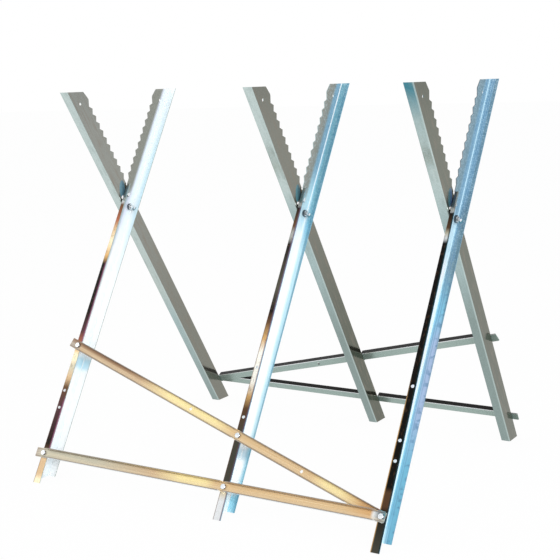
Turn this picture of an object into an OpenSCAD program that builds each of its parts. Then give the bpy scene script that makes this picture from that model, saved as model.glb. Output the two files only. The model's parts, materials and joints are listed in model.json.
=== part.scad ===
// Folding log sawhorse: three pairs of crossed channel legs, toothed above
// the crossing, tied together by two lower braces and two diagonal braces.
// +X runs along the log, -Y is the front, +Z is up. The origin is on the
// floor, under the middle of the stand.

/* [Stand] */
// Height from the floor to the leg tops
stand_h = 800; // [760:5:860]
// Height of the middle of the crossing above the floor
cross_h = 556; // [530:2:580]
// Lean of each leg from the vertical, in degrees
lean = 32; // [28:0.5:33]
// Distance from the left leg pair to the middle pair
left_bay = 462; // [400:2:520]
// Distance from the middle leg pair to the right pair
right_bay = 336; // [280:2:400]

/* [Leg channel] */
// Thickness of the sheet in the legs
sheet_t = 1.5; // [1.2:0.1:2]
// Width of the leg's web
web_w = 40; // [38:0.5:46]
// Width of the outer flange
flange_w = 20; // [18:0.5:26]
// Width of the inner lip at its top, near the crossing
lip_top_w = 9.5; // [8:0.5:14]
// Width of the inner lip at the foot
lip_foot_w = 18.5; // [16:0.5:22]
// Inner radius of the bends
bend_r = 1; // [0.6:0.1:1.6]
// Diameter of the hole near each leg's top
top_hole_d = 6; // [4:0.5:9]
// Distance of that hole below the top edge, along the leg
top_hole_drop = 30; // [24:1:40]

/* [Teeth] */
// Number of teeth on a leg
teeth = 10; // [6:1:10]
// Distance from tooth to tooth
tooth_pitch = 19.2; // [17:0.2:20]
// Depth of a tooth across the leg
tooth_d = 7; // [4:0.5:8]
// Distance from the middle of the crossing to the lowest tooth's tip
first_tooth = 55.5; // [54:0.5:62]
// Length of plain edge between the lowest tooth and the lip
plain_edge = 14; // [4:0.5:24]
// Radius that blunts the tooth tips
tip_r = 0.8; // [0.4:0.1:1.2]
// Reach of the nose at the leg's top beyond the web
nose_out = 8.5; // [6:0.5:10]
// Radius on the nose
nose_r = 5; // [2:0.5:6]

/* [Crossing] */
// Distance of the pivot below the middle of the crossing
pivot_drop = 15; // [14:0.5:18]
// Distance of the stop bolt above the middle of the crossing
stop_rise = 13; // [12:0.5:16]
// Angle through which the legs close before the stop slot ends
fold_travel = 36; // [24:1:36]
// Diameter of the pivot bolt
pivot_d = 8; // [7:0.5:8]
// Diameter of the stop bolt
stop_d = 6; // [5:0.5:6]
// Radial clearance of the pivot bolt in its holes
pivot_play = 0.06; // [0.03:0.01:0.1]
// Side clearance of the stop bolt in its slot
slot_play = 0.15; // [0.1:0.05:0.3]
// Clearance between faces that slide past each other
face_play = 0.3; // [0.2:0.05:0.4]
// Thickness of the washers at the crossing
washer_t = 1.6; // [1.2:0.1:2]

/* [Braces] */
// Thickness of the sheet in the braces
brace_t = 1.5; // [1.2:0.1:2]
// Width of a brace's face
brace_w = 20; // [18:0.5:23]
// Depth of a brace's flanges
brace_d = 12; // [8:0.5:14]
// Length of the lower brace beyond its first bolt
lower_left = 21; // [13:0.5:24]
// Length of the diagonal brace beyond its first bolt
diagonal_left = 22; // [13:0.5:26]
// Length of a brace beyond its last bolt
brace_right = 7; // [6.5:0.5:12]
// Corner radius at a brace's ends
brace_corner = 2; // [1:0.5:4]
// Length without flanges, from an end bolt inwards
flat_end = 10; // [8:0.5:18]
// Half the length without flanges at a middle bolt
flat_mid = 6; // [6:0.5:12]
// Gap between a diagonal brace's flanges and the lower brace
flange_gap = 2; // [1:0.5:5]
// Distance of the lowest lip hole from the foot, along the leg
low_hole_up = 52; // [44:1:80]
// Distance of the highest lip hole from the foot, along the leg
high_hole_up = 296; // [240:2:330]
// Distance of the lip holes from the back of the web
hole_in = 8; // [7.8:0.1:9.5]
// Distance of the spare hole from the low end bolt of a diagonal brace
spare_hole = 188; // [120:2:240]
// Diameter of the brace bolts
bolt_d = 6; // [5:0.5:6]
// Diametral clearance of the brace bolts in their holes
bolt_play = 0.6; // [0.3:0.1:0.8]

/* [Hidden] */
$fn = 48;

zinc = [0.80, 0.82, 0.82];
zinc_front = [0.74, 0.78, 0.80];
brace_zinc = [0.80, 0.76, 0.66];
bolt_zinc = [0.88, 0.89, 0.88];

// Places of the three leg pairs, with the stand's middle at x = 0
span = left_bay + right_bay;
pair_x = [-span / 2, left_bay - span / 2, span / 2];

// The webs of a pair stand back to back with a washer between them. A
// crossing bolt's parts lie these distances from the pair's middle plane.
web_gap = washer_t + face_play;
front_stack = web_gap / 2 + sheet_t;
rear_stack = front_stack + face_play + washer_t;
// First brace hole of each frame, seen from its own side
front_x0 = pair_x[0] + web_gap / 2 + hole_in;
rear_x0 = -pair_x[2] + web_gap / 2 + hole_in;
corner_r = bend_r + sheet_t;
// Overrun of raw shapes past the level cuts, and of cutters past a face
over = 40;
cut = 1;
reach = stand_h / cos(lean);

// Heights on the leg, measured along it from the middle of the crossing
half_tooth = tooth_pitch / 2;
lip_top = first_tooth - half_tooth - plain_edge;
nose_root = first_tooth + (teeth - 0.5) * tooth_pitch;
nose_s = nose_root + nose_out / tan(lean);
top_s = (stand_h - cross_h) / cos(lean);
top_hole_s = top_s - top_hole_drop;
leg_down = cross_h / cos(lean);
raw_foot = -leg_down - over;
low_hole = leg_down - low_hole_up;
high_hole = leg_down - high_hole_up;

// The diagonals cross the middle pair at these two hole heights
hole_drop = low_hole - high_hole;
function diagonal_hole(along) = high_hole + hole_drop * along / span;
lip_holes = [low_hole, diagonal_hole(left_bay), diagonal_hole(right_bay), high_hole];

// Slope and length of a diagonal, and where its lower flange must end to
// stay clear of the lower brace that shares its last bolt
slope = atan(hole_drop / span);
diagonal = norm([hole_drop, span]);
flange_trim = (brace_w / 2 * (1 + cos(slope)) + flange_gap) / sin(slope) - flat_end;

// Hexagon widths and heights of the fasteners, from their diameters
function across_flats(d) = 1.5 * d + 1;
function head_h(d) = 0.65 * d;
function nut_h(d) = 0.8 * d;
function washer_d(d) = 2 * d;
thread_out = 2.5;

// Corners of a polygon with each corner rounded to its own radius
function unit(v) = v / norm(v);
function turn(a, b) = a[0] * b[1] - a[1] * b[0];
function corner(p, q, r, rad, n) =
    let (u = unit(p - q), w = unit(r - q),
         half = acos(max(-1, min(1, u * w))) / 2,
         mid = q + unit(u + w) * rad / sin(half),
         start = q + u * rad / tan(half),
         sweep = (180 - 2 * half) * (turn(u, w) > 0 ? -1 : 1),
         d = start - mid)
    rad <= 0 ? [q] :
    [for (i = [0 : n])
        let (a = sweep * i / n)
        mid + [d[0] * cos(a) - d[1] * sin(a), d[0] * sin(a) + d[1] * cos(a)]];
function rounded(pts, rads, n = 4) =
    let (m = len(pts))
    [for (i = [0 : m - 1])
        each corner(pts[(i + m - 1) % m], pts[i], pts[(i + 1) % m], rads[i], n)];

// Quarter of a bend, about a point of the channel's section
module bend(x, y, a) {
    translate([x, y])
        rotate(a)
            intersection() {
                difference() {
                    circle(r = corner_r);
                    circle(r = bend_r);
                }
                square(corner_r + cut);
            }
}

module flange_section() {
    translate([corner_r, web_w / 2 - sheet_t])
        square([flange_w - corner_r, sheet_t]);
    bend(corner_r, web_w / 2 - corner_r, 90);
}

// The lip widens evenly from its top to the foot
function lip_width(s) = lip_top_w + (lip_foot_w - lip_top_w) * (lip_top - s) / (lip_top + leg_down);

module lip() {
    translate([0, sheet_t - web_w / 2, 0])
        rotate([90, 0, 0])
            linear_extrude(sheet_t)
                polygon([[corner_r, raw_foot], [lip_width(raw_foot), raw_foot],
                         [lip_width(lip_top), lip_top], [corner_r, lip_top]]);
    translate([0, 0, raw_foot])
        linear_extrude(lip_top - raw_foot)
            bend(corner_r, corner_r - web_w / 2, 180);
}

// Outline of the web, as [across, along], with its teeth and its nose
function web_outline() =
    let (inner = -web_w / 2,
         side = web_w / 2 - corner_r,
         tip = inner - tooth_d,
         slope = unit([cos(lean) - sin(lean), cos(lean) + sin(lean)]),
         nose = [inner - nose_out, nose_s])
    concat(
        [[side, raw_foot], [side, top_s + over]],
        [nose + slope * (top_s + over - nose_s)],
        [nose],
        [[inner, nose_root]],
        [for (k = [teeth - 1 : -1 : 0])
            let (s = first_tooth + k * tooth_pitch)
            each [[tip, s], [inner, s - half_tooth]]],
        [[inner, lip_top], [inner + corner_r, lip_top], [inner + corner_r, raw_foot]]
    );

function web_radii() =
    concat([0, 0, 0, nose_r, 0], [for (k = [1 : teeth]) each [tip_r, 0]], [0, 0, 0]);

module leg_sheet() {
    rotate([90, 0, 90])
        linear_extrude(sheet_t)
            polygon(rounded(web_outline(), web_radii()));
    translate([0, 0, raw_foot])
        linear_extrude(top_s + over - raw_foot)
            flange_section();
    lip();
}

module leg_holes() {
    for (s = lip_holes)
        translate([hole_in, -web_w / 2 - cut, -s])
            rotate([-90, 0, 0])
                cylinder(d = bolt_d + bolt_play, h = sheet_t + 2 * cut);
    translate([-cut, 0, top_hole_s])
        rotate([0, 90, 0])
            cylinder(d = top_hole_d, h = sheet_t + 2 * cut);
}

// A hole through both webs of a pair, at a height from the crossing
module cross_hole(h, d) {
    translate([-cut, 0, h])
        rotate([0, 90, 0])
            cylinder(d = d, h = sheet_t + 2 * cut);
}

// Arc slot round the pivot, for the stop bolt to travel in
module stop_slot() {
    r = pivot_drop + stop_rise;
    half = stop_d / 2 + slot_play;
    steps = 12;
    ends = 8;
    at = [for (k = [0 : steps]) fold_travel * k / steps];
    far_end = [r * sin(fold_travel), r * cos(fold_travel)];
    translate([-cut, 0, -pivot_drop])
        rotate([90, 0, 90])
            linear_extrude(sheet_t + 2 * cut)
                polygon(concat(
                    [for (a = at) (r + half) * [sin(a), cos(a)]],
                    [for (k = [1 : ends - 1])
                        let (a = fold_travel + 180 * k / ends)
                        far_end + half * [sin(a), cos(a)]],
                    [for (k = [steps : -1 : 0]) (r - half) * [sin(at[k]), cos(at[k])]],
                    [for (k = [1 : ends - 1])
                        let (a = 180 + 180 * k / ends)
                        [0, r] + half * [sin(a), cos(a)]]));
}

// A leg in the front leg's pose, with its web's back at x = 0
module leg(slotted) {
    difference() {
        rotate([-lean, 0, 0])
            difference() {
                leg_sheet();
                leg_holes();
            }
        cross_hole(-pivot_drop, pivot_d + 2 * pivot_play);
        if (slotted)
            stop_slot();
        else
            cross_hole(stop_rise, stop_d + 2 * pivot_play);
        translate([-over, -reach, -cross_h - reach])
            cube([flange_w + 2 * over, 2 * reach, reach]);
        translate([-over, -reach, stand_h - cross_h])
            cube([flange_w + 2 * over, 2 * reach, reach]);
    }
}

module front_leg(x) {
    color(zinc_front)
        translate([x + web_gap / 2, 0, cross_h])
            leg(false);
}

module rear_leg(x) {
    color(zinc)
        translate([x - web_gap / 2, 0, cross_h])
            rotate([0, 0, 180])
                leg(true);
}

// Children drawn in the front legs' plane: x along the stand, y into the
// channel with the lips' outer face at y = 0, z up the leg from the crossing
module front_plane() {
    translate([0, 0, cross_h])
        rotate([-lean, 0, 0])
            translate([0, -web_w / 2, 0])
                children();
}

module rear_plane() {
    rotate([0, 0, 180])
        front_plane()
            children();
}

// Bends of a brace, from a to b along it, on its upper or lower side
module brace_flange(a, b, side) {
    r = bend_r + brace_t;
    translate([a, 0, 0])
        mirror([0, 0, side > 0 ? 0 : 1])
            rotate([90, 0, 90])
                linear_extrude(b - a) {
                    translate([-brace_d, brace_w / 2 - brace_t])
                        square([brace_d - r, brace_t]);
                    translate([-r, brace_w / 2 - r])
                        intersection() {
                            difference() {
                                circle(r = r);
                                circle(r = bend_r);
                            }
                            square(r + cut);
                        }
                }
}

// Where the flange between bolts i and i + 1 starts and stops. The lower
// one is cut short by trim at the last bolt.
function flange_start(bolts, i) = bolts[i] + (i == 0 ? flat_end : flat_mid);
function flange_stop(bolts, i, side, trim) =
    bolts[i + 1] - (i == len(bolts) - 2 ? flat_end + (side < 0 ? trim : 0) : flat_mid);

// A brace along x from its first bolt, its face's back on y = 0 and its
// flanges pointing to -y, with its end a distance left before that bolt
module brace(bolts, spares, left, trim) {
    last = bolts[len(bolts) - 1];
    r = bend_r + brace_t;
    difference() {
        rotate([90, 0, 0])
            linear_extrude(brace_t)
                difference() {
                    polygon(rounded(
                        [[-left, -brace_w / 2], [last + brace_right, -brace_w / 2],
                         [last + brace_right, brace_w / 2], [-left, brace_w / 2]],
                        [for (k = [1 : 4]) brace_corner]));
                    for (i = [0 : len(bolts) - 2], side = [-1, 1])
                        translate([flange_start(bolts, i),
                                   side > 0 ? brace_w / 2 - r : -brace_w / 2 - cut])
                            square([flange_stop(bolts, i, side, trim) - flange_start(bolts, i),
                                    r + cut]);
                }
        for (x = concat(bolts, spares))
            translate([x, cut, 0])
                rotate([90, 0, 0])
                    cylinder(d = bolt_d + bolt_play, h = brace_t + 2 * cut);
    }
    for (i = [0 : len(bolts) - 2], side = [-1, 1])
        brace_flange(flange_start(bolts, i), flange_stop(bolts, i, side, trim), side);
}

// The lower brace lies outside the diagonal, one sheet further out
module lower_brace(first_x, bay) {
    translate([first_x, -brace_t, -low_hole])
        brace([0, bay, span], [], lower_left, 0);
}

module diagonal_brace(first_x, bay) {
    mid = diagonal * bay / span;
    translate([first_x, 0, -high_hole])
        rotate([0, slope, 0])
            brace([0, mid, diagonal], [diagonal - mid, diagonal - spare_hole],
                  diagonal_left, flange_trim);
}

// Fasteners stand on z = 0 with their shank pointing to +z
module hexagon(d, h) {
    flats = across_flats(d);
    big = flats / sqrt(3);
    edge = 0.12 * flats / 2;
    intersection() {
        cylinder(r = big, h = h, $fn = 6);
        rotate_extrude()
            polygon([[0, 0], [flats / 2, 0], [big, edge], [big, h - edge], [flats / 2, h], [0, h]]);
    }
}

module shank(d, length) {
    edge = 0.1 * d;
    rotate_extrude()
        polygon([[0, 0], [d / 2, 0], [d / 2, length - edge], [d / 2 - edge, length], [0, length]]);
}

module hex_bolt(d, length) {
    translate([0, 0, -head_h(d)])
        hexagon(d, head_h(d));
    shank(d, length);
}

module round_bolt(d, length) {
    r = 0.85 * d;
    h = 0.55 * d;
    rotate_extrude()
        polygon(rounded([[0, 0], [r, 0], [r, -h], [0, -h]], [0, 0, h * 0.8, 0], 8));
    shank(d, length);
}

module hex_nut(d) {
    difference() {
        hexagon(d, nut_h(d));
        translate([0, 0, -cut])
            cylinder(d = d + 2 * pivot_play, h = nut_h(d) + 2 * cut);
    }
}

module washer(d, h) {
    difference() {
        cylinder(d = washer_d(d), h = h);
        translate([0, 0, -cut])
            cylinder(d = d + 2 * pivot_play, h = h + 2 * cut);
    }
}

// Children at a pair's crossing with z along +X, at a height from the
// crossing and a distance x from the pair's middle plane
module at_crossing(h, x) {
    for (px = pair_x)
        translate([px + x, 0, cross_h + h])
            rotate([0, 90, 0])
                children();
}

// Children at a lip hole, with z along the hole into the channel, starting
// a distance out from the lip's outer face
module at_lip_hole(x, s, out) {
    translate([x, -out, -s])
        rotate([-90, 0, 0])
            children();
}

// The low bolts of a frame pass through the lower brace and what is under
// it, the high ones through the diagonal alone
module brace_bolts(x0, bay) {
    inner = sheet_t + nut_h(bolt_d) + thread_out;
    for (along = [0, bay, span])
        at_lip_hole(x0 + along, low_hole, 2 * brace_t)
            hex_bolt(bolt_d, inner + 2 * brace_t);
    for (along = [0, bay])
        at_lip_hole(x0 + along, diagonal_hole(along), brace_t)
            hex_bolt(bolt_d, inner + brace_t);
}

// Nuts lie in the channel with a flat towards the web
module brace_nuts(x0, bay) {
    for (along = [0, bay, span])
        at_lip_hole(x0 + along, low_hole, -sheet_t)
            rotate(30)
                hex_nut(bolt_d);
    for (along = [0, bay])
        at_lip_hole(x0 + along, diagonal_hole(along), -sheet_t)
            rotate(30)
                hex_nut(bolt_d);
}

// Spacers fill the place the diagonal's end takes at the last bolt
module brace_spacers(x0, bay) {
    for (along = [0, bay])
        at_lip_hole(x0 + along, low_hole, brace_t)
            washer(bolt_d, brace_t);
}

module rear_leg_left() rear_leg(pair_x[0]);
module rear_leg_middle() rear_leg(pair_x[1]);
module rear_leg_right() rear_leg(pair_x[2]);
module front_leg_left() front_leg(pair_x[0]);
module front_leg_middle() front_leg(pair_x[1]);
module front_leg_right() front_leg(pair_x[2]);

module rear_lower_brace() {
    color(brace_zinc) rear_plane() lower_brace(rear_x0, right_bay);
}

module rear_diagonal_brace() {
    color(brace_zinc) rear_plane() diagonal_brace(rear_x0, right_bay);
}

module front_lower_brace() {
    color(brace_zinc) front_plane() lower_brace(front_x0, left_bay);
}

module front_diagonal_brace() {
    color(brace_zinc) front_plane() diagonal_brace(front_x0, left_bay);
}

// Pivot: head behind the rear legs, nut inside the front legs
module pivot_bolts() {
    color(bolt_zinc)
        at_crossing(-pivot_drop, -rear_stack)
            hex_bolt(pivot_d, rear_stack + front_stack + nut_h(pivot_d) + thread_out);
}

module pivot_nuts() {
    color(bolt_zinc)
        at_crossing(-pivot_drop, front_stack)
            hex_nut(pivot_d);
}

module pivot_spacers() {
    color(bolt_zinc)
        at_crossing(-pivot_drop, web_gap / 2 - washer_t)
            washer(pivot_d, washer_t);
}

module pivot_washers() {
    color(bolt_zinc)
        at_crossing(-pivot_drop, -rear_stack)
            washer(pivot_d, washer_t);
}

// Stop: round head inside the front legs, nut behind the rear legs
module stop_bolts() {
    color(bolt_zinc)
        at_crossing(stop_rise, front_stack)
            rotate([180, 0, 0])
                round_bolt(stop_d, front_stack + rear_stack + nut_h(stop_d) + thread_out);
}

module stop_nuts() {
    color(bolt_zinc)
        at_crossing(stop_rise, -rear_stack - nut_h(stop_d))
            hex_nut(stop_d);
}

module stop_spacers() {
    color(bolt_zinc)
        at_crossing(stop_rise, web_gap / 2 - washer_t)
            washer(stop_d, washer_t);
}

module stop_washers() {
    color(bolt_zinc)
        at_crossing(stop_rise, -rear_stack)
            washer(stop_d, washer_t);
}

module front_brace_bolts() {
    color(bolt_zinc) front_plane() brace_bolts(front_x0, left_bay);
}

module front_brace_nuts() {
    color(bolt_zinc) front_plane() brace_nuts(front_x0, left_bay);
}

module front_brace_spacers() {
    color(bolt_zinc) front_plane() brace_spacers(front_x0, left_bay);
}

module rear_brace_bolts() {
    color(bolt_zinc) rear_plane() brace_bolts(rear_x0, right_bay);
}

module rear_brace_nuts() {
    color(bolt_zinc) rear_plane() brace_nuts(rear_x0, right_bay);
}

module rear_brace_spacers() {
    color(bolt_zinc) rear_plane() brace_spacers(rear_x0, right_bay);
}

rear_leg_left();
rear_leg_middle();
rear_leg_right();
front_leg_left();
front_leg_middle();
front_leg_right();
rear_lower_brace();
rear_diagonal_brace();
front_lower_brace();
front_diagonal_brace();
pivot_bolts();
pivot_nuts();
pivot_spacers();
pivot_washers();
stop_bolts();
stop_nuts();
stop_spacers();
stop_washers();
front_brace_bolts();
front_brace_nuts();
front_brace_spacers();
rear_brace_bolts();
rear_brace_nuts();
rear_brace_spacers();
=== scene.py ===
import json
import math

import bpy
from mathutils import Euler, Matrix, Vector

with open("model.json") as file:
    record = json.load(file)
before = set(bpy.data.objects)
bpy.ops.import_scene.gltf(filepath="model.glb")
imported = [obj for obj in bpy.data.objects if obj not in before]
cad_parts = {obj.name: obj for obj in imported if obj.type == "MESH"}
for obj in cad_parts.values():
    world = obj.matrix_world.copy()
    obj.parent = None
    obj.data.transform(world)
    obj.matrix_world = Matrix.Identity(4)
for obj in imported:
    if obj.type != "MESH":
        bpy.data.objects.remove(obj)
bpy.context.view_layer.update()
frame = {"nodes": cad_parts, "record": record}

# The camera, fitted to the photo: its place in metres, its angles in degrees,
# and in pixels of a square picture its focal length and its axis's row
IMAGE = 560
CAMERA_AT = (1.2654, -2.0267, 0.8096)
YAW, PITCH, ROLL = 32.031, 12.808, -1.875
FOCAL_PX = 1139.5
AXIS_PX = 340
SENSOR_MM = 36

# The legs' frame, read from the mounts, which lie in the middle of the sheet
mounts = {m["name"]: m for m in frame["record"]["mounts"]}
place_of = {name: Vector(m["pos_m"]) for name, m in mounts.items()}
PAIRS = ("left", "middle", "right")
SHEET = mounts["front_top_hole_left"]["dims"]["length_mm"] / 1000
foot, top_hole = place_of["front_foot_middle"], place_of["front_top_hole_middle"]
up_leg = (top_hole - foot).normalized()
LEAN = math.atan2(up_leg.y, up_leg.z)
CROSS_Z = foot.z - foot.y * up_leg.z / up_leg.y
CROSSING = Vector((0, 0, CROSS_Z))
FOOT_Z = -CROSS_Z / math.cos(LEAN)
pair_x = {p: (place_of[f"front_foot_{p}"].x + place_of[f"rear_foot_{p}"].x) / 2 for p in PAIRS}
WEB_BACK = (place_of["front_foot_left"].x - place_of["rear_foot_left"].x) / 2 - SHEET / 2
TURN = {"front": (LEAN, 0, 0), "rear": (-LEAN, 0, math.pi), "crossing": (0, 0, math.pi / 2)}

# Real sizes of a leg in metres: half its web, and its lip's top and widths
WEB_HALF = 0.020
LIP_TOP = 0.032
LIP_TOP_W, LIP_FOOT_W = 0.0095, 0.0185


def linear(*rgb):
    """An sRGB colour of 0 to 255 as Blender's linear one."""
    out = [c / 255 / 12.92 if c <= 10 else ((c / 255 + 0.055) / 1.055) ** 2.4 for c in rgb]
    return (*out, 1.0)


FULL = (1, 1, 1, 1)
# A colour mix node's sockets: its factor, its two colours and its result
MIX_FACTOR, MIX_A, MIX_B, MIX_RESULT = 0, 6, 7, 2
# The zinc's faint relief: its strength, and its depth in metres
RELIEF, RELIEF_DEPTH = 0.05, 0.0005


class Nodes:
    """Short names for the nodes of one tree, which starts empty."""

    def __init__(self, tree):
        self.tree = tree
        tree.nodes.clear()

    def add(self, kind, **values):
        node = self.tree.nodes.new(kind)
        for key, value in values.items():
            setattr(node, key, value)
        return node

    def put(self, socket, value):
        if isinstance(value, bpy.types.NodeSocket):
            self.tree.links.new(value, socket)
        else:
            socket.default_value = value

    def math(self, operation, a, b=0.0, clamp=False):
        node = self.add("ShaderNodeMath", operation=operation, use_clamp=clamp)
        self.put(node.inputs[0], a)
        self.put(node.inputs[1], b)
        return node.outputs[0]

    def both(self, a, b):
        return self.math("MULTIPLY", a, b)

    def scaled(self, value, factor, extra):
        """The value times a factor, and something added."""
        return self.math("ADD", self.both(value, factor), extra)

    def rest(self, mask):
        """1 where a mask is 0."""
        return self.math("SUBTRACT", 1.0, mask)

    def step(self, value, low, high):
        """0 under low, 1 over high, smooth between."""
        node = self.add("ShaderNodeMapRange", interpolation_type="SMOOTHSTEP")
        for socket, v in zip(node.inputs, (value, low, high, 0.0, 1.0)):
            self.put(socket, v)
        return node.outputs[0]

    def below(self, value, low, high):
        """1 under low, 0 over high, smooth between."""
        return self.step(self.both(value, -1.0), -high, -low)

    def within(self, value, low, high, soft):
        """1 between low and high, fading to 0 over soft on both sides."""
        over_low = self.step(value, low - soft, low)
        return self.math("SUBTRACT", over_low, self.step(value, high, high + soft), clamp=True)

    def ellipse(self, a, b, centre, half):
        """The square of the distance from an ellipse's centre, 1 on its line."""
        squares = []
        for value, middle, size in zip((a, b), centre, half):
            part = self.math("DIVIDE", self.math("SUBTRACT", value, middle), size)
            squares.append(self.both(part, part))
        return self.math("ADD", *squares)

    def mix(self, factor, a, b, blend="MIX"):
        node = self.add("ShaderNodeMix", data_type="RGBA", blend_type=blend)
        self.put(node.inputs[MIX_FACTOR], factor)
        self.put(node.inputs[MIX_A], a)
        self.put(node.inputs[MIX_B], b)
        return node.outputs[MIX_RESULT]

    def tint(self, colour, mask, amount, new):
        """The new colour over the old one, by an amount where the mask is 1."""
        return self.mix(self.both(mask, amount), colour, new)

    def ramp(self, value, stops):
        node = self.add("ShaderNodeValToRGB")
        band = node.color_ramp
        band.elements[0].position, band.elements[0].color = stops[0]
        band.elements[1].position, band.elements[1].color = stops[-1]
        for place, colour in stops[1:-1]:
            band.elements.new(place).color = colour
        self.put(node.inputs[0], value)
        return node.outputs[0]

    def ramp_mm(self, metres, stops):
        """A colour that follows a length, from stops given in millimetres."""
        low, high = stops[0][0], stops[-1][0]
        node = self.add("ShaderNodeMapRange")
        for socket, v in zip(node.inputs, (metres, low / 1000, high / 1000, 0.0, 1.0)):
            self.put(socket, v)
        return self.ramp(node.outputs[0], [((mm - low) / (high - low), colour) for mm, colour in stops])

    def mapped(self, vector, kind="POINT", location=(0, 0, 0), rotation=(0, 0, 0), scale=(1, 1, 1)):
        node = self.add("ShaderNodeMapping", vector_type=kind)
        self.put(node.inputs[0], vector)
        if kind == "POINT":
            node.inputs["Location"].default_value = location
        node.inputs["Rotation"].default_value = rotation
        node.inputs["Scale"].default_value = scale
        return node.outputs[0]

    def split(self, vector):
        node = self.add("ShaderNodeSeparateXYZ")
        self.put(node.inputs[0], vector)
        return node.outputs

    def noise(self, vector, scale, detail):
        """Noise of one scale, or of one for each axis, per metre."""
        if isinstance(scale, tuple):
            vector, scale = self.mapped(vector, scale=scale), 1.0
        node = self.add("ShaderNodeTexNoise")
        self.put(node.inputs["Vector"], vector)
        node.inputs["Scale"].default_value = scale
        node.inputs["Detail"].default_value = detail
        return node.outputs["Fac"]

    def local(self, origin, turn):
        """Position and normal in a piece's own axes."""
        coords = self.add("ShaderNodeTexCoord")
        shift = -(Euler(turn, "XYZ").to_matrix() @ Vector(origin))
        place = self.mapped(coords.outputs["Object"], location=shift, rotation=turn)
        normal = self.mapped(coords.outputs["Normal"], kind="VECTOR", rotation=turn)
        return place, normal

    def metal(self, colour, roughness, height, metallic):
        """Ends the tree in a metal with a faint relief."""
        shader = self.add("ShaderNodeBsdfPrincipled")
        self.put(shader.inputs["Base Color"], colour)
        self.put(shader.inputs["Roughness"], roughness)
        self.put(shader.inputs["Metallic"], metallic)
        bump = self.add("ShaderNodeBump")
        bump.inputs["Strength"].default_value = RELIEF
        bump.inputs["Distance"].default_value = RELIEF_DEPTH
        self.put(bump.inputs["Height"], height)
        self.put(shader.inputs["Normal"], bump.outputs[0])
        out = self.add("ShaderNodeOutputMaterial")
        self.put(out.inputs[0], shader.outputs[0])


def new_material(name):
    material = bpy.data.materials.new(name)
    material.use_nodes = True
    return material, Nodes(material.node_tree)


# Colours of the zinc as the photo shows them
WHITE = linear(252, 253, 254)
PALE = linear(236, 245, 249)
PALE_BLUE = linear(208, 235, 245)
ICE_BLUE = linear(186, 223, 235)
SKY_BLUE = linear(152, 216, 238)
SEA_BLUE = linear(118, 182, 208)
CLEAR_BLUE = linear(112, 176, 202)
STEEL_BLUE = linear(126, 166, 190)
EDGE_BLUE = linear(76, 132, 158)
SEA_TEAL = linear(114, 166, 182)
DEEP_BLUE = linear(84, 126, 160)
PERIWINKLE = linear(158, 178, 208)
DUSK = linear(112, 138, 150)
TEAL = linear(72, 136, 152)
SLATE = linear(84, 116, 132)
LAVENDER = linear(226, 231, 246)
LIP_SHADE = linear(140, 166, 172)
ZINC = linear(154, 156, 150)
ZINC_MID = linear(132, 133, 124)
ZINC_DULL = linear(108, 112, 100)
ZINC_OLIVE = linear(93, 98, 85)
ZINC_WARM = linear(140, 126, 112)
FLANGE_PALE = linear(198, 213, 211)
FLANGE_SOFT = linear(190, 203, 199)
FLANGE_TEAL = linear(172, 193, 193)
FLANGE_DULL = linear(144, 161, 158)
BLACK = linear(20, 17, 14)
# A dark painted reflection on the lips
DARK_REFLECTION = linear(76, 74, 64)
BROWN = linear(96, 68, 46)
# A red-brown painted reflection on the lips and the diagonal brace's flange
RED_BROWN_REFLECTION = linear(160, 96, 70)
PLUM = linear(78, 50, 54)
ROSE = linear(140, 80, 112)
VIOLET = linear(110, 92, 116)
DARK_TEAL = linear(28, 58, 62)
GOLD = linear(206, 164, 106)
CREAM = linear(238, 222, 188)
WARM_WHITE = linear(252, 248, 236)
TAN = linear(204, 174, 136)
ORANGE_TAN = linear(222, 190, 142)
ORANGE = linear(214, 168, 110)
ROSY_BEIGE = linear(230, 210, 180)
YELLOW = linear(247, 229, 166)
BEIGE = linear(196, 190, 168)
# A dark brown painted reflection on the diagonal brace
DARK_BROWN_REFLECTION = linear(132, 88, 50)
PINK_GREY = linear(170, 157, 143)
EDGE_GREY = linear(146, 136, 126)
CORNER = linear(104, 84, 70)
BRACE_GREEN = linear(158, 177, 170)
SILVER = linear(232, 237, 239)
SHADE = linear(112, 124, 132)

# How far a normal points along an axis where its face starts to count as
# facing that way, and where it fully does
FACING = (0.4, 0.6)
BRACE_FACING = (0.4, 0.7)
BOLT_END_FACING = (0.5, 0.9)

# How strongly each painted feature shows, from 0 to 1
STRENGTH = {
    "marks": 0.6, "free_edge": 0.75, "lip_shade": 0.75, "streak": 0.5, "speckle": 0.3, "head_ring": 0.75,
    "head_white": 0.9, "lip_spots": 0.35, "lip_edge": 0.8, "lip_bend": 0.8, "warm_patches": 0.45,
    "dull_patches": 0.3, "outer_bend_highlight": 0.6, "shine_flecks": 0.6, "crossing_shine": 0.9, "cream_streaks": 0.35,
    "low_band": 0.35, "dark_brown_reflection": 0.85, "corner": 0.5, "top_bend_highlight": 0.9}

# Heights on a leg in millimetres from the crossing, up its centre line
FOOT_MM, TOP_MM = -660, 290
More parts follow.
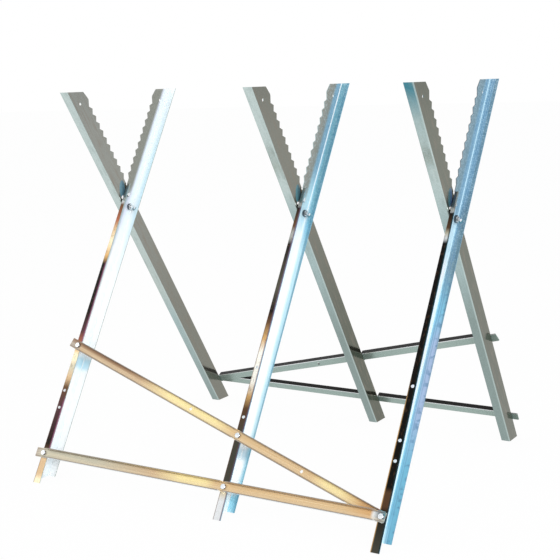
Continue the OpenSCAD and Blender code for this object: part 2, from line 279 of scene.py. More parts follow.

# The front legs' open side, pale zinc with painted reflections in blues and
# white: the web, the flange by the web and the flange by its free edge
WEB_INSIDE = {
    "left": [(FOOT_MM, PALE_BLUE), (-645, WHITE), (-140, WHITE), (-40, LAVENDER), (TOP_MM, LAVENDER)],
    "middle": [(FOOT_MM, WHITE), (-60, WHITE), (-30, PALE_BLUE), (30, ICE_BLUE), (90, STEEL_BLUE),
               (TOP_MM, STEEL_BLUE)],
    "right": [(FOOT_MM, PALE_BLUE), (-600, WHITE), (-120, WHITE), (-80, PALE_BLUE), (-30, PALE_BLUE),
              (10, STEEL_BLUE), (TOP_MM, STEEL_BLUE)]}
FLANGE_NEAR = {
    "left": [(FOOT_MM, PALE_BLUE), (-640, WHITE), (-100, WHITE), (0, PALE), (TOP_MM, PALE)],
    "middle": [(FOOT_MM, PALE_BLUE), (-635, SKY_BLUE), (-615, SKY_BLUE), (-600, WHITE), (-60, WHITE),
               (0, PALE_BLUE), (60, SKY_BLUE), (TOP_MM, SEA_BLUE)],
    "right": [(FOOT_MM, PALE_BLUE), (-600, CLEAR_BLUE), (-540, SEA_BLUE), (-440, SEA_BLUE),
              (-300, STEEL_BLUE), (-190, SEA_BLUE), (-100, DUSK), (-40, STEEL_BLUE), (TOP_MM, STEEL_BLUE)]}
FLANGE_FAR = {
    "left": [(FOOT_MM, PALE), (-640, WHITE), (-200, WHITE), (0, PALE_BLUE), (120, PALE_BLUE), (TOP_MM, PALE)],
    "middle": [(FOOT_MM, SEA_BLUE), (-610, SEA_BLUE), (-590, SKY_BLUE), (-500, ICE_BLUE), (-100, ICE_BLUE),
               (-40, SEA_BLUE), (30, SEA_TEAL), (TOP_MM, SEA_TEAL)],
    "right": [(FOOT_MM, CLEAR_BLUE), (-500, CLEAR_BLUE), (-400, PERIWINKLE), (-260, PERIWINKLE),
              (-200, SEA_BLUE), (-110, DUSK), (10, DUSK), (50, STEEL_BLUE), (TOP_MM, STEEL_BLUE)]}

# The cut edges of flange and lip, beyond this distance from the web's back
CUT_EDGE_X = (0.005, 0.006)
CUT_EDGE = {"left": linear(152, 172, 165), "middle": linear(118, 176, 196), "right": linear(104, 150, 176)}

# How far from the web, in metres, the flange's first colour gives way to its
# second, how much clouds move that, and how height moves it on the middle leg
BLEND_X = {"left": (0.004, 0.018), "middle": (0.003, 0.014), "right": (0.003, 0.012)}
BLEND_WAVE = 0.004
BLEND_SLANT, SLANT_FROM = 0.014, -0.25

# A darker strip by the flange's free edge: the heights over which it comes in
# and its colour, then where it starts and how much wider it gets higher up
FREE_EDGE = {"middle": (-0.80, -0.30, EDGE_BLUE), "right": (-0.50, -0.10, SLATE)}
FREE_EDGE_X = (0.0160, 0.0190)
FREE_EDGE_MORE, MORE_Z = 0.004, (-0.25, 0.0)

# Two dark lines along the right leg's flange and the dark marks between them
LINES_X = (0.0065, 0.0105)
LINE_W, LINE_SOFT = 0.0006, 0.0008
LINES_STRONGER_Z, LINES_STRENGTH = (-0.35, -0.10), (0.3, 0.5)
MARKS_X = (0.006, 0.016)
MARKS_NOISE, MARKS = (60, 60, 95), (0.52, 0.60)

# Where a front leg reflects a brace: between these heights, softly
BRACE_SHINE = {"left": (-0.396, -0.384), "middle": (-0.532, -0.524), "right": (-0.608, -0.602)}
SHINE_SOFT, SHINE_BY_CLOUDS = 0.013, (0.6, 0.15)
SHINE_BLUE = {"left": SKY_BLUE, "middle": SEA_BLUE, "right": SEA_BLUE}

# The left leg's web: paler towards the flange, shaded beside the lip
PALE_WEB_Y = (-0.002, 0.012)
LIP_SHADE_Y, LIP_SHADE_Z = (-0.009, 0.001), (-0.42, -0.10)

# The right leg's web has a dark streak, which comes in over these heights
STREAK_Y, STREAK_SOFT, STREAK_Z = (0.006, 0.008), 0.0025, (-0.06, 0.01)

# The web's toothed half over the crossing
TOOTHED_Y, TOOTHED_Z = (-0.005, 0.006), (-0.01, 0.04)
TOOTHED = {"left": ZINC_MID, "middle": ZINC_MID, "right": DUSK}

# The painted highlight on the bend between web and flange
BEND_Y, BEND_X = (0.0158, 0.0170), (0.0026, 0.0034)
BEND_HIGHLIGHT = {"left": (0.85, SILVER), "middle": (0.85, SILVER), "right": (0.6, PALE_BLUE)}

# Lengthwise mottle of the flange, and light speckle near the crossing
MOTTLE = (0.5, 0.72)
MOTTLE_Z, SPECKLE_Z = (-0.5, 0.1), (-0.25, 0.05)
MOTTLE_TINT = {"left": (0.25, PALE_BLUE), "middle": (0.5, TEAL), "right": (0.5, DEEP_BLUE)}
SPECKLE = (0.5, 0.62)

# The flange's painted reflection of the stop bolt's head, as an ellipse over x and z
HEAD_AT, HEAD_HALF = (0.009, -0.010), (0.0045, 0.0060)
HEAD_RING, HEAD_RING_SOFT = (0.4, 1.1), 0.4
HEAD_RING_Z = (-0.011, -0.006)
HEAD_WHITE = (0.1, 0.45)


def flange_base(nodes, pair, x, z, place, clouds):
    """The flange's first colours, with the right leg's lines and marks."""
    wave = nodes.math("ADD", x, nodes.both(nodes.math("SUBTRACT", clouds, 0.5), BLEND_WAVE))
    if pair == "middle":
        wave = nodes.math("ADD", wave, nodes.both(nodes.math("SUBTRACT", z, SLANT_FROM), BLEND_SLANT))
    near, far = nodes.ramp_mm(z, FLANGE_NEAR[pair]), nodes.ramp_mm(z, FLANGE_FAR[pair])
    flange = nodes.mix(nodes.step(wave, *BLEND_X[pair]), near, far)
    if pair == "right":
        strong = nodes.scaled(nodes.step(z, *LINES_STRONGER_Z), *LINES_STRENGTH)
        for line in LINES_X:
            on_line = nodes.within(wave, line, line + LINE_W, LINE_SOFT)
            flange = nodes.tint(flange, on_line, strong, DEEP_BLUE)
        marks = nodes.step(nodes.noise(place, MARKS_NOISE, detail=2.0), *MARKS)
        marks = nodes.both(marks, nodes.step(x, *MARKS_X))
        flange = nodes.tint(flange, marks, STRENGTH["marks"], DEEP_BLUE)
    if pair in FREE_EDGE:
        low, high, colour = FREE_EDGE[pair]
        wider = nodes.both(nodes.step(z, *MORE_Z), FREE_EDGE_MORE)
        edge = nodes.step(nodes.math("ADD", x, wider), *FREE_EDGE_X)
        edge = nodes.both(edge, nodes.step(z, low, high))
        flange = nodes.tint(flange, edge, STRENGTH["free_edge"], colour)
    return flange


def flange_mottle(nodes, pair, z, streaks, flange):
    """Lengthwise mottle, all along the left leg and high on the others."""
    mottle = nodes.step(streaks, *MOTTLE)
    if pair != "left":
        mottle = nodes.both(mottle, nodes.step(z, *MOTTLE_Z))
    return nodes.tint(flange, mottle, *MOTTLE_TINT[pair])


def head_picture(nodes, x, z, flange):
    """The stop bolt's head, reflected: a dark ring below a white middle."""
    r = nodes.ellipse(x, z, HEAD_AT, HEAD_HALF)
    ring = nodes.both(nodes.within(r, *HEAD_RING, HEAD_RING_SOFT), nodes.below(z, *HEAD_RING_Z))
    flange = nodes.tint(flange, ring, STRENGTH["head_ring"], TEAL)
    middle = nodes.math("SUBTRACT", STRENGTH["head_white"], nodes.step(r, *HEAD_WHITE), clamp=True)
    return nodes.mix(middle, flange, WHITE)


def web_base(nodes, pair, y, z, shine):
    """The web's first colours, with its shades, reflections and teeth."""
    web = nodes.ramp_mm(z, WEB_INSIDE[pair])
    if pair == "left":
        web = nodes.mix(nodes.step(y, *PALE_WEB_Y), web, PALE)
        by_lip = nodes.both(nodes.below(y, *LIP_SHADE_Y), nodes.step(z, *LIP_SHADE_Z))
        web = nodes.tint(web, by_lip, STRENGTH["lip_shade"], LIP_SHADE)
    if pair == "right":
        streak = nodes.both(nodes.within(y, *STREAK_Y, STREAK_SOFT), nodes.step(z, *STREAK_Z))
        web = nodes.tint(web, streak, STRENGTH["streak"], DEEP_BLUE)
    else:
        web = nodes.mix(shine, web, SHINE_BLUE[pair])
    toothed = nodes.both(nodes.below(y, *TOOTHED_Y), nodes.step(z, *TOOTHED_Z))
    return nodes.mix(toothed, web, TOOTHED[pair])


def front_inside(nodes, pair, place, clouds, streaks, fine):
    """The open side of a front leg, as the colours of its web and flange."""
    x, y, z = nodes.split(place)
    shine = nodes.within(z, *BRACE_SHINE[pair], SHINE_SOFT)
    shine = nodes.both(shine, nodes.scaled(clouds, *SHINE_BY_CLOUDS))
    web = web_base(nodes, pair, y, z, shine)
    flange = flange_base(nodes, pair, x, z, place, clouds)
    flange = nodes.mix(shine, flange, SHINE_BLUE[pair])
    # A painted highlight along the bend between web and flange
    bend = nodes.both(nodes.step(y, *BEND_Y), nodes.below(x, *BEND_X))
    web = nodes.tint(web, bend, *BEND_HIGHLIGHT[pair])
    flange = nodes.tint(flange, bend, *BEND_HIGHLIGHT[pair])
    flange = flange_mottle(nodes, pair, z, streaks, flange)
    if pair != "left":
        speckle = nodes.both(nodes.step(fine, *SPECKLE), nodes.step(z, *SPECKLE_Z))
        flange = nodes.tint(flange, speckle, STRENGTH["speckle"], PALE_BLUE)
        web = nodes.tint(web, speckle, STRENGTH["speckle"], PALE_BLUE)
    return web, head_picture(nodes, x, z, flange)


# The front legs' lips, painted with reflections of dark and bright surroundings:
# colours up them, then the bend's colour and the height in metres up to which it goes,
# and the free edge's colour
LIP = {
    "left": [(FOOT_MM, CREAM), (-648, TAN), (-612, TAN), (-600, BROWN), (-580, BLACK), (-495, PLUM),
             (-455, BROWN), (-432, TAN), (-408, BEIGE), (-392, CREAM), (-378, CREAM), (-368, GOLD),
             (-355, RED_BROWN_REFLECTION), (-325, PLUM), (-280, BLACK), (-165, BLACK), (-145, GOLD), (-110, CREAM),
             (-80, TAN), (-58, RED_BROWN_REFLECTION), (-20, BROWN), (-9, SILVER), (-4, SILVER), (0, ZINC), (32, ZINC)],
    "middle": [(FOOT_MM, WHITE), (-630, WHITE), (-615, CREAM), (-604, TAN), (-595, DARK_REFLECTION), (-500, DARK_REFLECTION),
               (-445, BROWN), (-420, GOLD), (-390, WARM_WHITE), (-330, WARM_WHITE), (-300, GOLD),
               (-265, BROWN), (-240, BLACK), (-190, DARK_REFLECTION), (-95, BLACK), (-80, ZINC), (-68, ZINC),
               (-55, BROWN), (-12, BLACK), (-9, WHITE), (-4, WHITE), (0, ZINC), (32, FLANGE_TEAL)],
    "right": [(FOOT_MM, DARK_REFLECTION), (-595, BLACK), (-585, BROWN), (-560, BROWN), (-550, BLACK), (-75, BLACK),
              (-66, SILVER), (-55, BEIGE), (-45, BROWN), (-14, BLACK), (-9, WHITE), (-4, WHITE),
              (0, SHADE), (32, SHADE)]}
LIP_BEND = {"left": (BROWN, -0.48), "middle": (BROWN, -0.24), "right": (GOLD, -0.36)}
LIP_EDGE = {"left": ROSE, "middle": VIOLET, "right": DARK_TEAL}
LIP_Y = (-0.0182, -0.012)
LIP_EDGE_W = (0.0012, 0.0040)
LIP_BEND_X, LIP_BEND_SOFT = (0.0016, 0.0036), (0.06, 0.03)
# The lip's lower part, its upper part with a painted highlight on its free edge, and its dark spots
LOWER_Z, EDGE_HIGHLIGHT_Z = (-0.014, -0.010), (-0.004, 0.004)
SPOTS, SPOTS_Z = (0.56, 0.66), (-0.615, -0.600)
# The heights between which the left lip's free edge has its own colour
LEFT_EDGE_Z, LEFT_EDGE_SOFT = ((-0.345, -0.17), (-0.60, -0.49)), 0.02


def lip_colour(nodes, pair, place, flecks):
    """A front leg's lip, with its spots, free edge and bend."""
    x, _, z = nodes.split(place)
    lip = nodes.ramp_mm(z, LIP[pair])
    lower = nodes.below(z, *LOWER_Z)
    spots = nodes.both(nodes.both(nodes.step(flecks, *SPOTS), lower), nodes.step(z, *SPOTS_Z))
    lip = nodes.tint(lip, spots, STRENGTH["lip_spots"], BROWN)
    taper = (LIP_FOOT_W - LIP_TOP_W) / (LIP_TOP - FOOT_Z)
    width = nodes.scaled(z, -taper, LIP_TOP_W + taper * LIP_TOP)
    edge = nodes.below(nodes.math("SUBTRACT", width, x), *LIP_EDGE_W)
    low_edge = nodes.both(edge, lower)
    if pair == "left":
        high_part, low_part = (nodes.within(z, *part, LEFT_EDGE_SOFT) for part in LEFT_EDGE_Z)
        low_edge = nodes.both(low_edge, nodes.math("MAXIMUM", high_part, low_part))
    lip = nodes.tint(lip, low_edge, STRENGTH["lip_edge"], LIP_EDGE[pair])
    # A painted highlight on the free edge of the lip's upper part
    lip = nodes.mix(nodes.both(edge, nodes.step(z, *EDGE_HIGHLIGHT_Z)), lip, SILVER)
    bend_colour, end = LIP_BEND[pair]
    up, down = LIP_BEND_SOFT
    bend = nodes.both(nodes.below(x, *LIP_BEND_X), nodes.below(z, end - up, end + down))
    return nodes.tint(lip, bend, STRENGTH["lip_bend"], bend_colour)


# The legs from outside: the web low down and high up, the flange by height,
# patches of a warmer and a duller zinc, and the painted highlight on the bend
WEB_OUTSIDE = {"left": (ZINC_MID, ZINC), "middle": (ZINC_OLIVE, ZINC_MID), "right": (ZINC_OLIVE, ZINC_DULL)}
WEB_OUTSIDE_Z = (-0.45, 0.15)
FLANGE_OUTSIDE = {
    "left": [(FOOT_MM, FLANGE_DULL), (-350, FLANGE_TEAL), (-250, FLANGE_SOFT), (0, FLANGE_PALE),
             (TOP_MM, FLANGE_PALE)],
    "middle": [(FOOT_MM, FLANGE_DULL), (-350, FLANGE_DULL), (-150, FLANGE_TEAL), (0, FLANGE_TEAL),
               (60, FLANGE_PALE), (TOP_MM, FLANGE_PALE)],
    "right": [(FOOT_MM, FLANGE_DULL), (-270, FLANGE_DULL), (-130, FLANGE_TEAL), (0, FLANGE_TEAL),
              (110, FLANGE_PALE), (220, FLANGE_TEAL), (TOP_MM, TEAL)]}
PATCHY_NOISE = (90, 240, 22)
WARM_PATCHES, DULL_PATCHES = (0.48, 0.68), (0.5, 0.7)
OUTER_BEND_HIGHLIGHT_Y, OUTER_BEND_HIGHLIGHT_X = (WEB_HALF - 0.0026, WEB_HALF - 0.0010), (0.002, 0.003)

# The painted reflection of the front leg in a rear leg's web, just over the
# crossing: its colours at the front and back, its ellipse over y and z, and
# where along y the first colour gives way to the second
CROSSING_SHINE = {
    "left": (linear(92, 134, 152), linear(60, 96, 116)), "middle": (linear(58, 120, 132), linear(34, 70, 84)),
    "right": (linear(40, 84, 92), linear(50, 74, 124))}
SHINE_AT, SHINE_HALF = (-0.015, CROSS_Z + 0.026), (0.010, 0.021)
SHINE_BACK_Y = (-0.020, -0.011)
SHINE_RIM = (0.75, 1.1)
SHINE_FLECKS = (0.45, 0.65)

# Noises on the legs, per metre
LEG_STREAKS, LEG_CLOUDS, LEG_FINE, LEG_FLECKS = (900, 900, 9), 14.0, 420.0, (260, 260, 110)

# The legs' surface: darker grain and mottle, roughness by clouds, and what
# the painted reflections add to or take from it
LEG_GRAIN = [(0.3, (0.93, 0.93, 0.93, 1)), (0.7, FULL)]
LEG_MOTTLE = [(0.35, (0.9, 0.9, 0.89, 1)), (0.65, FULL)]
LEG_ROUGHNESS, INSIDE_ROUGHER = (0.08, 0.10), 0.2
LEG_METALLIC, INSIDE_LESS_METALLIC = 0.85, 0.72
INSIDE_PLAINER = 0.8
FINE_RELIEF = 0.4


def leg_outside(nodes, side, pair, place):
    """The colours of a leg's web and flange from outside."""
    x, y, z = nodes.split(place)
    low, high = WEB_OUTSIDE[pair if side == "rear" else "left"]
    web = nodes.mix(nodes.step(z, *WEB_OUTSIDE_Z), low, high)
    patchy = nodes.noise(place, PATCHY_NOISE, detail=5.0)
    web = nodes.tint(web, nodes.step(patchy, *WARM_PATCHES), STRENGTH["warm_patches"], ZINC_WARM)
    flange = nodes.ramp_mm(z, FLANGE_OUTSIDE[pair])
    dull = nodes.step(patchy, *DULL_PATCHES)
    flange = nodes.tint(flange, dull, STRENGTH["dull_patches"], FLANGE_DULL)
    # A painted highlight along the bend
    line = nodes.both(nodes.step(y, *OUTER_BEND_HIGHLIGHT_Y), nodes.below(x, *OUTER_BEND_HIGHLIGHT_X))
    web, flange = (nodes.tint(c, line, STRENGTH["outer_bend_highlight"], FLANGE_PALE) for c in (web, flange))
    return web, flange


def crossing_shine(nodes, pair, outer_face, fine, web):
    """The front leg's painted reflection on a rear leg's web, and where it lies."""
    coords = nodes.add("ShaderNodeTexCoord")
    _, y, z = nodes.split(coords.outputs["Object"])
    r = nodes.ellipse(y, z, SHINE_AT, SHINE_HALF)
    colour = nodes.mix(nodes.step(y, *SHINE_BACK_Y), *CROSSING_SHINE[pair])
    colour = nodes.tint(colour, nodes.step(fine, *SHINE_FLECKS), STRENGTH["shine_flecks"], TEAL)
    shine = nodes.both(nodes.rest(nodes.step(r, *SHINE_RIM)), outer_face)
    shine = nodes.both(shine, STRENGTH["crossing_shine"])
    return nodes.mix(shine, web, colour), shine


def leg_material(side, pair):
    """Zinc on a leg: x from the back of its web, y across it with the
    flange at +y, z up the leg from the crossing."""
    material, nodes = new_material(f"zinc_{side}_{pair}")
    sign = 1 if side == "front" else -1
    place, normal = nodes.local((pair_x[pair] + sign * WEB_BACK, 0, CROSS_Z), TURN[side])
    x, y, _ = nodes.split(place)
    nx, ny, _ = nodes.split(normal)
    streaks = nodes.noise(place, LEG_STREAKS, detail=4.0)
    clouds = nodes.noise(place, LEG_CLOUDS, detail=4.0)
    fine = nodes.noise(place, LEG_FINE, detail=3.0)
    web, flange_out = leg_outside(nodes, side, pair, place)
    faces_flange = nodes.step(ny, *FACING)
    faces_lip = nodes.step(nodes.both(ny, -1.0), *FACING)
    if side == "front":
        faces_open = nodes.step(nx, *FACING)
        near_lip = nodes.below(y, *LIP_Y)
        web_in, flange_in = front_inside(nodes, pair, place, clouds, streaks, fine)
        web_in = nodes.mix(nodes.step(x, *CUT_EDGE_X), web_in, CUT_EDGE[pair])
        web = nodes.mix(faces_open, web, web_in)
        flecks = nodes.noise(place, LEG_FLECKS, detail=3.0)
        flange_in = nodes.mix(near_lip, flange_in, lip_colour(nodes, pair, place, flecks))
        inside = nodes.math("MAXIMUM", faces_open, nodes.both(faces_lip, nodes.rest(near_lip)))
    else:
        flange_in = flange_out
        outer_face = nodes.step(nodes.both(nx, -1.0), *FACING)
        web, inside = crossing_shine(nodes, pair, outer_face, fine, web)
    colour = nodes.mix(faces_flange, web, flange_out)
    colour = nodes.mix(faces_lip, colour, flange_in)
    outside = nodes.rest(nodes.both(inside, INSIDE_PLAINER))
    colour = nodes.mix(outside, colour, nodes.ramp(streaks, LEG_GRAIN), blend="MULTIPLY")
    colour = nodes.mix(outside, colour, nodes.ramp(fine, LEG_MOTTLE), blend="MULTIPLY")
    roughness = nodes.math("ADD", nodes.scaled(clouds, *LEG_ROUGHNESS), nodes.both(inside, INSIDE_ROUGHER))
    metallic = nodes.math("SUBTRACT", LEG_METALLIC, nodes.both(inside, INSIDE_LESS_METALLIC))
    height = nodes.math("ADD", streaks, nodes.both(fine, FINE_RELIEF))
    nodes.metal(colour, roughness, height, metallic)
    return material


# Colours of the front braces' faces, painted reflections of warm and dark
# surroundings, from the left end, 0, to the right one, 1
FACE = {
    "front_lower_brace": [
        (0.0, PINK_GREY), (0.022, BEIGE), (0.2, BEIGE), (0.38, TAN), (0.46, YELLOW), (0.53, YELLOW),
        (0.56, ORANGE_TAN), (0.9, ORANGE_TAN), (0.965, ORANGE), (0.972, SILVER), (0.985, SHADE), (1.0, TEAL)],
    "front_diagonal_brace": [
        (0.0, PINK_GREY), (0.025, PINK_GREY), (0.04, TAN), (0.26, TAN), (0.36, YELLOW), (0.51, YELLOW),
        (0.57, ORANGE_TAN), (0.8, ORANGE_TAN), (0.84, YELLOW), (0.88, YELLOW), (0.94, ORANGE),
        (0.97, ORANGE), (0.975, TEAL), (1.0, TEAL)]}
# The same for the side of the upper flange that the camera sees
UNDER = {
    "front_lower_brace": [
        (0.0, BEIGE), (0.2, BEIGE), (0.4, YELLOW), (0.53, YELLOW), (0.6, ORANGE_TAN), (1.0, TAN)],
    "front_diagonal_brace": [
        (0.0, BROWN), (0.16, BROWN), (0.28, TAN), (0.38, YELLOW), (0.53, YELLOW), (0.6, TAN), (0.85, GOLD),
        (1.0, RED_BROWN_REFLECTION)]}

# Places on a brace, in metres: z across its face from the middle, depth from
# its back; the ranges called along run from its left end, 0, to its right, 1
UPPER_HALF_Z = (-0.001, 0.001)
LOW_BAND_Z, LOW_BAND_ALONG = (-0.006, 0.002), (0.03, 0.1)
# Where the diagonal shows a painted reflection of a dark brown thing
DARK_BROWN_REFLECTION_Z, DARK_BROWN_REFLECTION_ALONG, DARK_BROWN_REFLECTION_SOFT = (-0.002, 0.006), (0.05, 0.18), 0.16
CORNER_Z, CORNER_SOFT = (0.0072, 0.0084), 0.0008
# The rear braces' painted highlight along the top bend
TOP_BEND_HIGHLIGHT_Z = (0.0080, 0.0092)
FREE_EDGE_DEPTH = (0.0095, 0.0105)
BRACE_STREAKS, BRACE_CLOUDS = (9, 900, 900), 18.0
CREAM_STREAKS = (0.5, 0.68)
BRACE_GRAIN = [(0.3, (0.9, 0.9, 0.9, 1)), (0.7, FULL)]
BRACE_ROUGHNESS = (0.14, 0.2)
BRACE_METALLIC = {"front": 0.25, "rear": 0.6}

# A brace's slope is looked for in steps of so many degrees, so many each way
SLOPE_STEP, SLOPE_STEPS = 0.05, 500


def brace_axis(name, turn):
    """A brace's slope in the legs' plane, and in its own axes from the
    crossing its two ends, the middle of its face and its back."""
    rotation = Euler(turn, "XYZ").to_matrix()
    piece = frame["nodes"][name]
    points = [rotation @ (piece.matrix_world @ v.co - CROSSING) for v in piece.data.vertices]

    def across(angle):
        return [p.z * math.cos(angle) - p.x * math.sin(angle) for p in points]

    def width(angle):
        return max(across(angle)) - min(across(angle))

    slopes = (math.radians(SLOPE_STEP * k) for k in range(-SLOPE_STEPS, SLOPE_STEPS + 1))
    slope = min(slopes, key=width)
    along = [p.x * math.cos(slope) + p.z * math.sin(slope) for p in points]
    middle = (min(across(slope)) + max(across(slope))) / 2
    return slope, (min(along), max(along)), middle, max(p.y for p in points)


def front_face(nodes, name, along, z, streaks):
    """A front brace's outer face and the inner side of its flanges."""
    face = nodes.ramp(along, FACE[name])
    face = nodes.tint(face, nodes.step(streaks, *CREAM_STREAKS), STRENGTH["cream_streaks"], CREAM)
    low_band = nodes.both(nodes.below(z, *LOW_BAND_Z), nodes.step(along, *LOW_BAND_ALONG))
    face = nodes.tint(face, low_band, STRENGTH["low_band"], ROSY_BEIGE)
    if name == "front_diagonal_brace":
        # A painted reflection, dark brown, near the diagonal's left end
        dark_brown_reflection = nodes.both(nodes.step(z, *DARK_BROWN_REFLECTION_Z), nodes.within(along, *DARK_BROWN_REFLECTION_ALONG, DARK_BROWN_REFLECTION_SOFT))
        face = nodes.tint(face, dark_brown_reflection, STRENGTH["dark_brown_reflection"], DARK_BROWN_REFLECTION)
    corner = nodes.within(nodes.math("ABSOLUTE", z), *CORNER_Z, CORNER_SOFT)
    face = nodes.tint(face, corner, STRENGTH["corner"], CORNER)
    under = nodes.mix(nodes.step(z, *UPPER_HALF_Z), SILVER, nodes.ramp(along, UNDER[name]))
    return face, under


def brace_material(name, side):
    """Zinc on a brace: x along it, y out of the legs' plane and into the
    stand, z across its face."""
    material, nodes = new_material(f"zinc_{name}")
    slope, (start, end), middle, back = brace_axis(name, TURN[side])
    place, normal = nodes.local(CROSSING, TURN[side])
    place = nodes.mapped(place, rotation=(0, slope, 0))
    normal = nodes.mapped(normal, kind="VECTOR", rotation=(0, slope, 0))
    x, y, z = nodes.split(place)
    _, ny, nz = nodes.split(normal)
    z = nodes.math("SUBTRACT", z, middle)
    along = nodes.math("DIVIDE", nodes.math("SUBTRACT", x, start), end - start)
    depth = nodes.math("SUBTRACT", back, y)
    streaks = nodes.noise(place, BRACE_STREAKS, detail=4.0)
    clouds = nodes.noise(place, BRACE_CLOUDS, detail=3.0)
    if side == "front":
        face, under = front_face(nodes, name, along, z, streaks)
        back_face, top = BRACE_GREEN, BEIGE
    else:
        face, under = BRACE_GREEN, BRACE_GREEN
        # A painted highlight along the top bend
        top_bend_highlight = nodes.step(z, *TOP_BEND_HIGHLIGHT_Z)
        back_face = nodes.tint(BRACE_GREEN, top_bend_highlight, STRENGTH["top_bend_highlight"], WHITE)
        # The top flange painted black, a reflection of dark surroundings
        top = BLACK
    face = nodes.mix(nodes.step(depth, *FREE_EDGE_DEPTH), face, EDGE_GREY)
    colour = nodes.mix(nodes.step(nz, *BRACE_FACING), under, top)
    colour = nodes.mix(nodes.step(nodes.both(ny, -1.0), *BRACE_FACING), colour, face)
    colour = nodes.mix(nodes.step(ny, *BRACE_FACING), colour, back_face)
    colour = nodes.mix(1.0, colour, nodes.ramp(streaks, BRACE_GRAIN), blend="MULTIPLY")
    nodes.metal(colour, nodes.scaled(clouds, *BRACE_ROUGHNESS), streaks, BRACE_METALLIC[side])
    return material


# Bolts, nuts and washers: their ends painted lighter and their sides darker, as
# painted light and shade, in each group
BOLT_CLOUDS = 260.0
BOLT_ROUGHNESS, BOLT_METALLIC = (0.2, 0.16), 0.7
BOLT_ENDS = [(0.3, linear(214, 222, 228)), (0.6, linear(246, 248, 250)), (0.8, linear(220, 210, 196))]
SIDES_AT_BRACES = [(0.3, linear(92, 84, 98)), (0.7, linear(150, 150, 156))]
SIDES_AT_CROSSING = [(0.3, linear(46, 56, 64)), (0.7, linear(98, 104, 108))]
BOLT_SIDES = {"front": SIDES_AT_BRACES, "rear": SIDES_AT_BRACES, "crossing": SIDES_AT_CROSSING}


def bolt_material(group):
    """Zinc on the bolts of a group, with y along them."""
    material, nodes = new_material(f"zinc_bolts_{group}")
    place, normal = nodes.local(CROSSING, TURN[group])
    _, ny, _ = nodes.split(normal)
    clouds = nodes.noise(place, BOLT_CLOUDS, detail=4.0)
    # Painted light and shade: ends lighter than sides
    end = nodes.step(nodes.math("ABSOLUTE", ny), *BOLT_END_FACING)
    colour = nodes.mix(end, nodes.ramp(clouds, BOLT_SIDES[group]), nodes.ramp(clouds, BOLT_ENDS))
    nodes.metal(colour, nodes.scaled(clouds, *BOLT_ROUGHNESS), clouds, BOLT_METALLIC)
    return material


def dress(name, material):
    mesh = frame["nodes"][name].data
    mesh.materials.clear()
    mesh.materials.append(material)


def dress_all():
    bolts = {group: bolt_material(group) for group in BOLT_SIDES}
    for name in frame["nodes"]:
        group = name.split("_")[0]
        if "_leg_" in name:
            dress(name, leg_material(*name.split("_leg_")))
        elif name.endswith("_brace"):
            dress(name, brace_material(name, group))
        else:
            dress(name, bolts.get(group, bolts["crossing"]))


# The studio: a floor and a world that the camera sees as white, and two lamps
# given by name, place in metres, size in metres and watts
FLOOR_HALF = 30.0
FLOOR_GREY = (0.8, 0.8, 0.8, 1)
FLOOR_WHITE_SHARE = 0.965
WORLD_SOFT, WORLD_STRENGTH = (0.96, 0.98, 1.0, 1), 0.85
LAMPS = (("key", (2.6, -2.6, 1.6), 2.0, 88), ("fill", (-2.6, -1.2, 2.0), 2.5, 14))
LAMPS_AIM = Vector((0, 0, 0.4))


def make_floor():
    h = FLOOR_HALF
    mesh = bpy.data.meshes.new("floor")
    mesh.from_pydata([(-h, -h, 0), (h, -h, 0), (h, h, 0), (-h, h, 0)], [], [(0, 1, 2, 3)])
    floor = bpy.data.objects.new("floor", mesh)
    bpy.context.scene.collection.objects.link(floor)
    material, nodes = new_material("floor")
    path = nodes.add("ShaderNodeLightPath")
    seen = nodes.math("MAXIMUM", path.outputs["Is Camera Ray"], path.outputs["Is Glossy Ray"])
    seen = nodes.math("MAXIMUM", seen, path.outputs["Is Transmission Ray"])
    plain = nodes.add("ShaderNodeBsdfDiffuse")
    plain.inputs["Color"].default_value = FLOOR_GREY
    white = nodes.add("ShaderNodeEmission")
    white.inputs["Strength"].default_value = 1.0
    mixed = nodes.add("ShaderNodeMixShader")
    nodes.put(mixed.inputs[0], nodes.both(seen, FLOOR_WHITE_SHARE))
    nodes.put(mixed.inputs[1], plain.outputs[0])
    nodes.put(mixed.inputs[2], white.outputs[0])
    out = nodes.add("ShaderNodeOutputMaterial")
    nodes.put(out.inputs[0], mixed.outputs[0])
    mesh.materials.append(material)


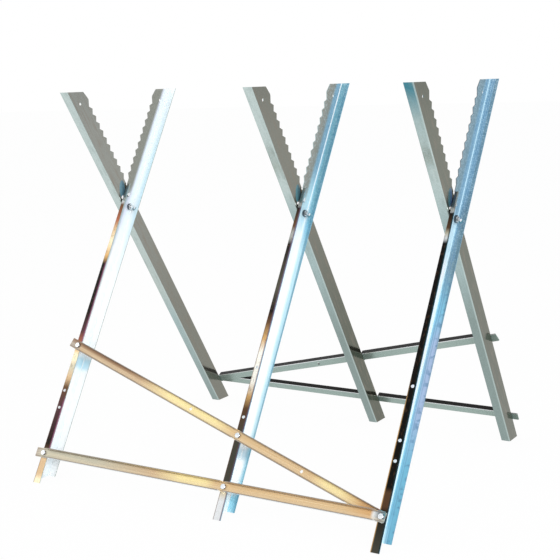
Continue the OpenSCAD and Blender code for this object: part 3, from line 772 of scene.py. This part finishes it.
def make_world():
    world = bpy.data.worlds.new("studio")
    world.use_nodes = True
    bpy.context.scene.world = world
    nodes = Nodes(world.node_tree)
    path = nodes.add("ShaderNodeLightPath")
    seen = nodes.math("MAXIMUM", path.outputs["Is Camera Ray"], path.outputs["Is Transmission Ray"])
    mixed = nodes.add("ShaderNodeMixShader")
    nodes.put(mixed.inputs[0], seen)
    for socket, colour, strength in ((1, WORLD_SOFT, WORLD_STRENGTH), (2, FULL, 1.0)):
        background = nodes.add("ShaderNodeBackground")
        background.inputs["Color"].default_value = colour
        background.inputs["Strength"].default_value = strength
        nodes.put(mixed.inputs[socket], background.outputs[0])
    out = nodes.add("ShaderNodeOutputWorld")
    nodes.put(out.inputs[0], mixed.outputs[0])


def add_lamp(name, place, size, power):
    light = bpy.data.lights.new(name, "AREA")
    light.size = size
    light.energy = power
    lamp = bpy.data.objects.new(name, light)
    lamp.location = place
    lamp.rotation_euler = (LAMPS_AIM - Vector(place)).to_track_quat("-Z", "Y").to_euler()
    bpy.context.scene.collection.objects.link(lamp)


def make_camera():
    yaw, pitch, roll = (math.radians(a) for a in (YAW, PITCH, ROLL))
    ahead = Vector((-math.sin(yaw) * math.cos(pitch), math.cos(yaw) * math.cos(pitch), -math.sin(pitch)))
    level = Vector((math.cos(yaw), math.sin(yaw), 0))
    above = level.cross(ahead)
    right = level * math.cos(roll) + above * math.sin(roll)
    up = above * math.cos(roll) - level * math.sin(roll)
    data = bpy.data.cameras.new("camera")
    data.sensor_width = SENSOR_MM
    data.lens = FOCAL_PX / IMAGE * SENSOR_MM
    data.shift_y = (AXIS_PX - IMAGE / 2) / IMAGE
    camera = bpy.data.objects.new("camera", data)
    turn = Matrix((right, up, -ahead)).transposed().to_4x4()
    camera.matrix_world = Matrix.Translation(CAMERA_AT) @ turn
    bpy.context.scene.collection.objects.link(camera)
    bpy.context.scene.camera = camera


dress_all()
make_floor()
make_world()
for lamp in LAMPS:
    add_lamp(*lamp)
make_camera()
bpy.context.scene.view_settings.view_transform = "Standard"
